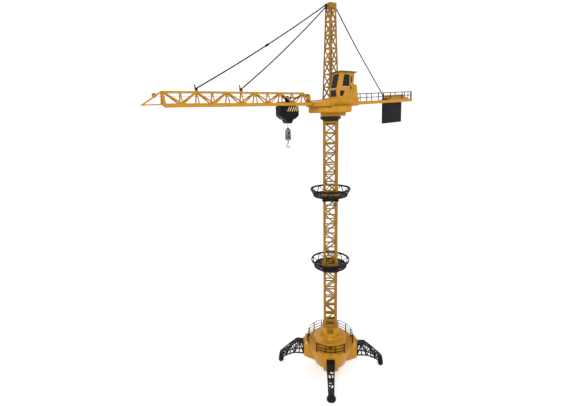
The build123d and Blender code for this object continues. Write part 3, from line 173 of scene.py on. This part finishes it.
# ---------------------------------------------------------------- materials
class Shader:
    """A node tree that ends in one Principled shader."""

    def __init__(self, name, **constants):
        self.material = bpy.data.materials.new(name)
        self.material.use_nodes = True
        self.tree = self.material.node_tree
        self.surface = self.tree.nodes["Principled BSDF"]
        for socket, value in constants.items():
            self.surface.inputs[socket.replace("_", " ")].default_value = value
        self.place = self.tree.nodes.new("ShaderNodeTexCoord").outputs["Object"]

    def node(self, kind, **settings):
        made = self.tree.nodes.new(kind)
        for key, value in settings.items():
            setattr(made, key, value)
        return made

    def join(self, source, target):
        self.tree.links.new(source, target)

    def noise(self, scale, detail=3.0, rough=0.5, stretch=None):
        made = self.node("ShaderNodeTexNoise")
        made.inputs["Scale"].default_value = scale
        made.inputs["Detail"].default_value = detail
        made.inputs["Roughness"].default_value = rough
        source = self.place
        if stretch:
            mapping = self.node("ShaderNodeMapping")
            mapping.inputs["Scale"].default_value = stretch
            self.join(source, mapping.inputs["Vector"])
            source = mapping.outputs["Vector"]
        self.join(source, made.inputs["Vector"])
        return made.outputs["Fac"]

    def ramp(self, value, low, high, from_low=0.35, from_high=0.65):
        """Map a value's middle range to another range."""
        made = self.node("ShaderNodeMapRange")
        for name, number in (("From Min", from_low), ("From Max", from_high),
                             ("To Min", low), ("To Max", high)):
            made.inputs[name].default_value = number
        self.join(value, made.inputs["Value"])
        return made.outputs["Result"]

    def mix(self, share, first, second, blend="MIX"):
        made = self.node("ShaderNodeMix", data_type="RGBA", blend_type=blend)
        for socket, value in ((made.inputs[0], share), (made.inputs[6], first), (made.inputs[7], second)):
            if isinstance(value, (int, float)):
                socket.default_value = value
            elif isinstance(value, tuple):
                socket.default_value = (*value, 1.0)
            else:
                self.join(value, socket)
        return made.outputs[2]

    def math(self, operation, first, second):
        made = self.node("ShaderNodeMath", operation=operation)
        for socket, value in zip(made.inputs, (first, second)):
            if isinstance(value, (int, float)):
                socket.default_value = value
            else:
                self.join(value, socket)
        return made.outputs[0]

    def bump(self, height, strength, distance, onto=None):
        made = self.node("ShaderNodeBump")
        made.inputs["Strength"].default_value = strength
        made.inputs["Distance"].default_value = distance
        self.join(height, made.inputs["Height"])
        if onto is not None:
            self.join(onto, made.inputs["Normal"])
        return made.outputs["Normal"]

    def edges(self, radius):
        """1 beside sharp edges and 0 on flat faces."""
        bevel = self.node("ShaderNodeBevel", samples=4)
        bevel.inputs["Radius"].default_value = radius
        shape = self.node("ShaderNodeNewGeometry")
        dot = self.node("ShaderNodeVectorMath", operation="DOT_PRODUCT")
        self.join(bevel.outputs["Normal"], dot.inputs[0])
        self.join(shape.outputs["Normal"], dot.inputs[1])
        return self.ramp(dot.outputs["Value"], 1.0, 0.0, 0.86, 0.995)

    def upward(self):
        """1 on faces that look up and 0 on the others."""
        shape = self.node("ShaderNodeNewGeometry")
        split = self.node("ShaderNodeSeparateXYZ")
        self.join(shape.outputs["Normal"], split.inputs[0])
        return self.ramp(split.outputs["Z"], 0.0, 1.0, 0.5, 1.0)

    def colour(self, source):
        self.join(source, self.surface.inputs["Base Color"])

    def roughness(self, source):
        self.join(source, self.surface.inputs["Roughness"])

    def normal(self, source):
        self.join(source, self.surface.inputs["Normal"])


def scaled(colour, factor):
    return tuple(min(1.0, channel * factor) for channel in colour)


def moulded(name, colour, rough, coat, mottle=0.10, worn=None, wear=0.35, dust=0.0, grain=0.35, gloss=0.4):
    """Injection-moulded plastic: flow clouds, a fine eroded grain, paler worn edges and a little dust."""
    shader = Shader(name, Coat_Weight=coat, Coat_Roughness=0.12, IOR=1.5,
                    Specular_IOR_Level=gloss)
    cloud = shader.noise(38.0, 4.0, 0.55)
    fine = shader.noise(420.0, 2.0, 0.6)
    tint = shader.mix(shader.ramp(cloud, 0.0, 1.0), scaled(colour, 1.0 - mottle),
                      scaled(colour, 1.0 + mottle))
    tint = shader.mix(shader.ramp(fine, 0.0, 0.22), tint, scaled(colour, 0.72))
    if worn:
        rub = shader.math("MULTIPLY", shader.edges(0.45 * MM),
                          shader.ramp(shader.noise(160.0, 4.0), 0.0, 1.0))
        tint = shader.mix(shader.math("MULTIPLY", rub, wear), tint, worn)
    if dust:
        settled = shader.math("MULTIPLY", shader.upward(),
                              shader.ramp(shader.noise(95.0, 5.0, 0.65), 0.1, 1.0))
        tint = shader.mix(shader.math("MULTIPLY", settled, dust), tint, (0.55, 0.52, 0.46))
    shader.colour(tint)
    shader.roughness(shader.math("ADD", shader.ramp(cloud, rough - 0.05, rough + 0.06),
                                 shader.ramp(fine, -0.03, 0.04)))
    pits = shader.bump(shader.noise(2600.0, 2.0, 0.7), grain, 0.05 * MM)
    shader.normal(shader.bump(shader.noise(70.0, 2.0), 0.25, 0.12 * MM, pits))
    return shader.material


def brushed(name, colour, rough, along=(1.0, 1.0, 40.0)):
    """Plated or turned metal with fine lines."""
    shader = Shader(name, Metallic=1.0)
    lines = shader.noise(900.0, 3.0, 0.6, along)
    cloud = shader.noise(60.0, 3.0)
    tint = shader.mix(shader.ramp(lines, 0.0, 1.0), scaled(colour, 0.82), scaled(colour, 1.1))
    shader.colour(shader.mix(shader.ramp(cloud, 0.0, 0.3), tint, scaled(colour, 0.6)))
    shader.roughness(shader.ramp(lines, rough - 0.07, rough + 0.1))
    shader.normal(shader.bump(lines, 0.2, 0.03 * MM))
    return shader.material


def twisted(name, dark, pale, pitch):
    """Twisted cord: slanting strands round the piece's own length, read from its UV map."""
    shader = Shader(name, Sheen_Weight=0.08, Sheen_Roughness=0.5, Specular_IOR_Level=0.2)
    uv = shader.node("ShaderNodeTexCoord").outputs["UV"]
    split = shader.node("ShaderNodeSeparateXYZ")
    shader.join(uv, split.inputs[0])
    run = shader.math("MULTIPLY", split.outputs["X"], pitch)
    phase = shader.math("ADD", run, shader.math("MULTIPLY", split.outputs["Y"], 3.0))
    strand = shader.math("SINE", shader.math("MULTIPLY", phase, 2 * math.pi), 0.0)
    fuzz = shader.noise(1800.0, 3.0, 0.7)
    share = shader.math("MULTIPLY", shader.ramp(strand, 0.0, 1.0, -1.0, 1.0), shader.ramp(fuzz, 0.5, 1.0))
    shader.colour(shader.mix(share, dark, pale))
    shader.roughness(shader.ramp(fuzz, 0.6, 0.85))
    fibres = shader.bump(fuzz, 0.5, 0.08 * MM)
    shader.normal(shader.bump(strand, 0.8, 0.3 * MM, fibres))
    return shader.material


YELLOW = (0.415, 0.187, 0.004)
DEEP_YELLOW = (0.250, 0.116, 0.008)
PALE_YELLOW = (0.560, 0.340, 0.050)
CHARCOAL = (0.0040, 0.0041, 0.0046)

yellow = moulded("yellow_abs", YELLOW, 0.36, 0.03, worn=PALE_YELLOW, wear=0.40, dust=0.015, gloss=0.22)
mast_yellow = moulded("mast_yellow_abs", DEEP_YELLOW, 0.44, 0.0, worn=PALE_YELLOW, wear=0.30, dust=0.015,
                      gloss=0.15)
black = moulded("black_abs", CHARCOAL, 0.40, 0.0, mottle=0.25, worn=(0.026, 0.026, 0.029), wear=0.6,
                dust=0.006, gloss=0.10)
maroon = moulded("railing_maroon", (0.020, 0.005, 0.006), 0.42, 0.0, mottle=0.2, worn=(0.07, 0.03, 0.03),
                 wear=0.5, dust=0.015, gloss=0.2)
grey = moulded("railing_grey", (0.016, 0.018, 0.020), 0.44, 0.0, mottle=0.2, worn=(0.06, 0.06, 0.065),
               wear=0.5, dust=0.015, gloss=0.2)
ring_brown = moulded("ring_black_brown", (0.013, 0.009, 0.008), 0.44, 0.0, mottle=0.25,
                     worn=(0.05, 0.04, 0.03), gloss=0.2)
roof = moulded("roof_olive", (0.100, 0.066, 0.018), 0.50, 0.0, mottle=0.15, worn=(0.22, 0.17, 0.07),
               dust=0.05)
sill = moulded("pale_sill", (0.46, 0.31, 0.17), 0.45, 0.02, worn=(0.6, 0.46, 0.3))
silver = moulded("silver_grey", (0.130, 0.132, 0.138), 0.32, 0.20, mottle=0.15, worn=(0.34, 0.34, 0.35),
                 wear=0.7)
grip_grey = moulded("grip_grey", (0.060, 0.061, 0.062), 0.40, 0.05, mottle=0.2, worn=(0.16, 0.16, 0.16),
                    wear=0.6)
dark_knob = moulded("dark_knob", (0.008, 0.008, 0.009), 0.34, 0.1, mottle=0.2, gloss=0.25)
gear_white = moulded("gear_acetal", (0.52, 0.50, 0.45), 0.45, 0.05, mottle=0.05)
rubber = moulded("foot_rubber", (0.007, 0.007, 0.007), 0.80, 0.0, mottle=0.3, grain=0.8, dust=0.02,
                 gloss=0.15)
stripe = moulded("hazard_stripe", (0.72, 0.52, 0.22), 0.42, 0.05, mottle=0.06)
steel = brushed("zinc_steel", (0.40, 0.40, 0.41), 0.34)
cell_skin = moulded("cell_sleeve", (0.05, 0.07, 0.11), 0.30, 0.3, mottle=0.2)
board_green = moulded("circuit_board", (0.010, 0.065, 0.024), 0.35, 0.4, mottle=0.2)
glass = moulded("smoked_glazing", (0.004, 0.005, 0.006), 0.12, 0.0, mottle=0.3, grain=0.05, gloss=0.18)
cord_dark = twisted("stay_cord", (0.003, 0.003, 0.004), (0.022, 0.022, 0.026), 150.0)
cord_thread = twisted("thread", (0.02, 0.02, 0.022), (0.11, 0.11, 0.12), 40.0)

NODE_MATERIALS = {
    yellow: ["base_shell", "base_cover", "platform", "turntable", "slew_housing", "cab_shell",
             "jib_frame_front", "jib_frame_back", "jib_nose", "counter_deck", "ballast_box",
             "mast_socket"],
    mast_yellow: ["mast_section_lower", "mast_section_middle", "mast_section_upper", "cathead",
                  "cathead_cap"],
    black: ["leg_front", "leg_right", "leg_back", "leg_left", "basket_lower", "basket_upper", "battery_tray",
            "battery_door", "counterweight", "trolley_carriage", "hoist_housing_front", "hoist_housing_back",
            "power_switch", "tip_pulley", "root_pulley", "wheelset_inner", "wheelset_outer", "stay_clips"],
    maroon: ["balcony_railing_front", "balcony_railing_left", "balcony_railing_right"],
    grey: ["counter_railing"],
    ring_brown: ["slew_ring"],
    roof: ["cab_roof"],
    glass: ["cab_windows"],
    silver: ["hook_block", "hook"],
    gear_white: ["slew_gear", "slew_pinion", "hoist_drum"],
    rubber: ["foot_pads"],
    steel: ["base_screws", "jib_screws", "hoist_motor", "slew_motor", "trolley_motor"],
    cell_skin: ["battery_cells"],
    board_green: ["control_board"],
    cord_thread: ["trolley_cord"],
}
BEVELS = {"base_shell": 0.9, "platform": 0.8, "turntable": 0.7, "ballast_box": 0.6, "counterweight": 0.7,
          "mast_socket": 0.8, "slew_ring": 0.5, "cab_shell": 0.5, "cab_roof": 0.5, "hoist_housing_front": 0.7,
          "hoist_housing_back": 0.7, "hook_block": 0.7, "counter_deck": 0.5}
LEAST_BEVEL = 0.25
UNBEVELLED = ("stay_", "hoist_cord", "trolley_cord", "slew_gear", "slew_pinion", "control_board",
              "jib_screws")


def soften(piece, width):
    """Round the sharp edges of a carried-over node with modifiers; its own mesh stays as it is."""
    joined = piece.modifiers.new("weld", "WELD")
    joined.merge_threshold = 0.002 * MM
    rounded = piece.modifiers.new("bevel", "BEVEL")
    rounded.width = width * MM
    rounded.segments = 2
    rounded.limit_method = "ANGLE"
    rounded.angle_limit = math.radians(30)
    rounded.use_clamp_overlap = True
    rounded.harden_normals = True


for material, names in NODE_MATERIALS.items():
    for name in names:
        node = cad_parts[name]
        node.data.materials.clear()
        node.data.materials.append(material)
        if not name.startswith(UNBEVELLED):
            soften(node, BEVELS.get(name, LEAST_BEVEL))


# ---------------------------------------------------------------- cords
def cord_curve(name, route, diameter, body, material):
    """A smooth cord whose control points are the route's points."""
    curve = bpy.data.curves.new(name, "CURVE")
    curve.dimensions = "3D"
    spline = curve.splines.new("NURBS")
    spline.points.add(len(route) - 1)
    for point, place in zip(spline.points, route):
        point.co = (*place, 1.0)
    spline.order_u = 3
    spline.use_endpoint_u = True
    spline.resolution_u = 12
    curve.bevel_depth = diameter / 2
    curve.bevel_resolution = 5
    curve.use_fill_caps = True
    piece = bpy.data.objects.new(name, curve)
    bpy.context.collection.objects.link(piece)
    curve.materials.append(material)
    if body:
        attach(piece, body)
    return piece


STAY = 3.6 * MM
STAY_ROUTES = {
    "inner": [(-0.0206, 0, 1.2665), (-0.077, 0, 1.217), (-0.136, 0, 1.1668), (-0.195, 0, 1.1188),
              (-0.254, 0, 1.073), (-0.3132, 0, 1.030)],
    "outer": [(-0.0206, 0, 1.273), (-0.103, 0, 1.221), (-0.187, 0, 1.1705), (-0.271, 0, 1.1216),
              (-0.355, 0, 1.0744), (-0.4383, 0, 1.030)],
    "rear": [(0.0206, 0, 1.270), (0.075, 0, 1.2035), (0.131, 0, 1.1385), (0.188, 0, 1.077),
             (0.2432, 0, 1.0164)],
}
for name, route in STAY_ROUTES.items():
    stay = cord_curve(f"{name}_stay_cord", route, STAY, "head", cord_dark)
    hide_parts(f"stay_{name}")


def as_mesh(curve):
    return bpy.data.meshes.new_from_object(curve.evaluated_get(bpy.context.evaluated_depsgraph_get()))


def hoist_line():
    """The load line, as a mesh tube between the trolley and the hook block."""
    thick, top, low = 1.2 * MM, 0.9550, 0.9193
    route = [(HOIST_X, 0, top), (HOIST_X, 0, CORD_EXIT), (HOIST_X, 0, 0.9310), (HOIST_X, 0, low)]
    guide = cord_curve("hoist_guide", route, thick, None, cord_thread)
    tube = as_mesh(guide)
    guide.data.bevel_depth = 0.0
    line = [vertex.co[:] for vertex in as_mesh(guide).vertices]
    bpy.data.objects.remove(guide)
    piece = bpy.data.objects.new("hoist_line", tube)
    bpy.context.collection.objects.link(piece)
    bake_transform(piece)
    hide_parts("hoist_cord")


hoist_line()


# ---------------------------------------------------------------- added pieces
def base_frame(angle_degrees):
    """The row frame turned so that its X points along a direction of the base."""
    return Matrix.Rotation(BASE_TURN + math.radians(angle_degrees), 4, "Z")


def hazard_stripes():
    """Five slanting stripes on each side of the hoist housing, towards the mast."""
    for side, label in ((-1, "near"), (1, "far")):
        form = bmesh.new()
        place = facing((0, side * HOIST_FACE, 0), (0, side, 0))
        for i in range(5):
            x = -0.1765 + i * 0.0079
            low, high, wide, lean = 0.9662, 0.9800, 0.0022, 0.0078
            corners = [(x, low), (x + wide, low), (x + wide + lean, high), (x + lean, high)]
            outline = [(cx if side < 0 else -cx, z) for cx, z in corners]
            if side > 0:
                outline.reverse()
            add_loop_prism(form, outline, -0.0003, 0.0005, place)
        name = f"hazard_stripes_{label}"
        link(mesh_from(form, name), name, "trolley", stripe)


def screw_set(name, body, material, places, radius):
    form = bmesh.new()
    for place in places:
        add_cross_screw(form, place, radius, 0.35 * radius)
    weld(form)
    link(mesh_from(form, name), name, body, material)


def plate(name, body, material, place, outline, low, high, soft):
    """A small bevelled plate over an outline in the place's own X and Y."""
    form = bmesh.new()
    add_loop_prism(form, outline, low, high, place)
    bevel_edges(form, soft)
    link(mesh_from(form, name), name, body, material)


def box_points(x0, x1, y0, y1):
    return [(x0, y0), (x1, y0), (x1, y1), (x0, y1)]


def base_details():
    """The framed panel at the foot of the mast and the two large screws above it."""
    turn = base_frame(-90)
    out = turn.to_3x3() @ Vector((1, 0, 0))
    face = facing(turn @ Vector((0.0350, 0, 0.1605)), out)
    plate("socket_boss", "base", yellow, face, box_points(-0.0125, 0.0125, -0.0092, 0.0092),
          -0.0080, 0.0, 0.0006)
    rim = bmesh.new()
    for x0, x1, y0, y1 in ((-0.0105, 0.0105, 0.0054, 0.0076), (-0.0105, 0.0105, -0.0076, -0.0054),
                           (-0.0105, -0.0081, -0.0076, 0.0076), (0.0081, 0.0105, -0.0076, 0.0076)):
        add_loop_prism(rim, box_points(x0, x1, y0, y1), -0.0004, 0.0005, face)
    link(mesh_from(rim, "socket_rim"), "socket_rim", "base", ring_brown)
    plate("socket_panel", "base", mast_yellow, face,
          box_points(-0.0074, 0.0074, -0.0047, 0.0047), -0.0004, 0.0006, 0.0002)
    screw_set("mast_screws", "base", dark_knob,
              [facing(turn @ Vector((0.0251, side * 0.007, 0.192)), out) for side in (-1, 1)], 0.0044)


def cab_details():
    """Window sills, a door with its handle, and a seam round the door."""
    front = facing((-0.0222, -0.040, 1.0295), (-1, 0, -0.05))
    plate("front_sill", "head", sill, front, box_points(-0.0150, 0.0150, -0.0012, 0.0012),
          -0.0003, 0.0012, 0.0003)
    side = facing((0, -CAB_FACE, 0), (0, -1, 0))
    plate("side_sill", "head", sill, side, box_points(-0.0020, 0.0300, 1.0345, 1.0362),
          -0.0003, 0.0010, 0.0003)
    seam = bmesh.new()
    for x0, x1, y0, y1 in ((0.0312, 0.0320, 1.006, 1.072), (0.0440, 0.0448, 1.006, 1.072),
                           (0.0312, 0.0448, 1.0715, 1.0723)):
        add_loop_prism(seam, box_points(x0, x1, y0, y1), -0.0001, 0.00012, side)
    link(mesh_from(seam, "door_seam"), "door_seam", "head", ring_brown)
    plate("door_handle", "head", dark_knob, side, box_points(0.0335, 0.0350, 1.030, 1.038),
          -0.0002, 0.0022, 0.0005)


def hook_details():
    """The dark swivel collar, pins, window and ribbed grip of the hook block."""
    form = bmesh.new()
    for side in (-1, 1):
        for x, z, radius in ((HOIST_X, 0.912, 0.0020), (HOIST_X, 0.890, 0.0026)):
            place = facing((x, side * 0.0044, z), (0, side, 0))
            profile = [(0, -0.001), (radius, -0.001), (radius, 0.0008), (0.7 * radius, 0.0013), (0, 0.0013)]
            add_lathe(form, profile, place, 24)
    weld(form)
    link(mesh_from(form, "block_pins"), "block_pins", "block", dark_knob)
    form = bmesh.new()
    place = Matrix.Translation((HOIST_X, 0, 0.9152))
    profile = [(0, 0), (0.0036, 0), (0.0040, 0.0006), (0.0040, 0.0022), (0.0034, 0.0030), (0, 0.0030)]
    add_lathe(form, profile, place, 32)
    weld(form)
    link(mesh_from(form, "swivel_collar"), "swivel_collar", "block", dark_knob)
    for side, label in ((-1, "near"), (1, "far")):
        face = facing((HOIST_X, side * 0.0045, 0.902), (0, side, 0))
        plate(f"sheave_window_{label}", "block", dark_knob, face,
              box_points(-0.0034, 0.0042, -0.0038, 0.0038), -0.0003, 0.0003, 0.0001)
    form = bmesh.new()
    place = Matrix.Translation((HOIST_X, 0, 0))
    for i in range(5):
        low = 0.8848 + 0.0024 * i
        add_loop_prism(form, box_points(-0.00785, 0.00785, -0.0048, 0.0048), low, low + 0.0015, place)
    bevel_edges(form, 0.0003)
    link(mesh_from(form, "block_grip"), "block_grip", "block", grip_grey)


def platform_details():
    """Bolt heads round the turntable's skirt and on the counter-jib's deck."""
    places = []
    for i in range(8):
        turn = Matrix.Rotation(math.radians(22.5 + 45 * i), 4, "Z")
        out = turn.to_3x3() @ Vector((1, 0, 0))
        places.append(facing(turn @ Vector((0.0679, 0, 0.969)), out))
    screw_set("turntable_bolts", "head", yellow, places, 0.0022)
    places = [facing((x, side * 0.012, 0.979), (0, 0, -1), (1, 0, 0)) for x in (-0.070, 0.0785)
              for side in (-1, 1)]
    screw_set("platform_bolts", "head", dark_knob, places, 0.0022)


hazard_stripes()
base_details()
cab_details()
hook_details()
platform_details()


# ---------------------------------------------------------------- studio
def studio_material():
    shader = Shader("studio_paper")
    shader.surface.inputs["Specular IOR Level"].default_value = 0.1
    shader.surface.inputs["Emission Color"].default_value = (1.0, 1.0, 1.0, 1.0)
    shader.surface.inputs["Emission Strength"].default_value = 0.30
    cloud = shader.noise(0.8, 2.0)
    shader.colour(shader.mix(shader.ramp(cloud, 0.0, 1.0), (0.80, 0.80, 0.80), (0.83, 0.83, 0.83)))
    shader.roughness(shader.ramp(cloud, 0.85, 0.95))
    return shader.material


def studio():
    """A round sweep of pale paper that rises into a wall on every side."""
    form = bmesh.new()
    flat, bend, wall = 4.5, 1.6, 6.5
    profile = [(0, 0), (1.5, 0), (3.0, 0), (flat, 0)]
    profile += [(flat + bend * math.sin(math.radians(a)), bend * (1 - math.cos(math.radians(a))))
                for a in range(6, 91, 6)]
    profile.append((flat + bend, wall))
    add_lathe(form, profile, None, 96)
    bmesh.ops.recalc_face_normals(form, faces=form.faces)
    mesh = bpy.data.meshes.new("studio_floor")
    form.to_mesh(mesh)
    form.free()
    mesh.shade_smooth()
    mesh.materials.append(studio_material())
    floor = bpy.data.objects.new("studio_floor", mesh)
    bpy.context.collection.objects.link(floor)


def area_light(name, place, target, size, power):
    data = bpy.data.lights.new(name, "AREA")
    data.shape = "DISK"
    data.size = size
    data.energy = power
    lamp = bpy.data.objects.new(name, data)
    lamp.location = place
    lamp.rotation_mode = "QUATERNION"
    lamp.rotation_quaternion = (Vector(target) - Vector(place)).to_track_quat("-Z", "Y")
    bpy.context.collection.objects.link(lamp)


def lighting():
    world = bpy.data.worlds.new("studio_sky")
    world.use_nodes = True
    background = world.node_tree.nodes["Background"]
    background.inputs["Color"].default_value = (1.0, 1.0, 1.0, 1.0)
    background.inputs["Strength"].default_value = 0.42
    bpy.context.scene.world = world
    bpy.context.scene.view_settings.view_transform = "Standard"
    middle = (0.0, 0.0, 0.7)
    area_light("key", (-2.4, -2.4, 3.2), middle, 1.5, 105.0)
    area_light("fill", (2.8, -1.6, 2.0), middle, 2.2, 16.0)
    area_light("rim", (0.8, 3.0, 2.8), middle, 1.8, 30.0)


studio()
lighting()

bpy.context.view_layer.update()
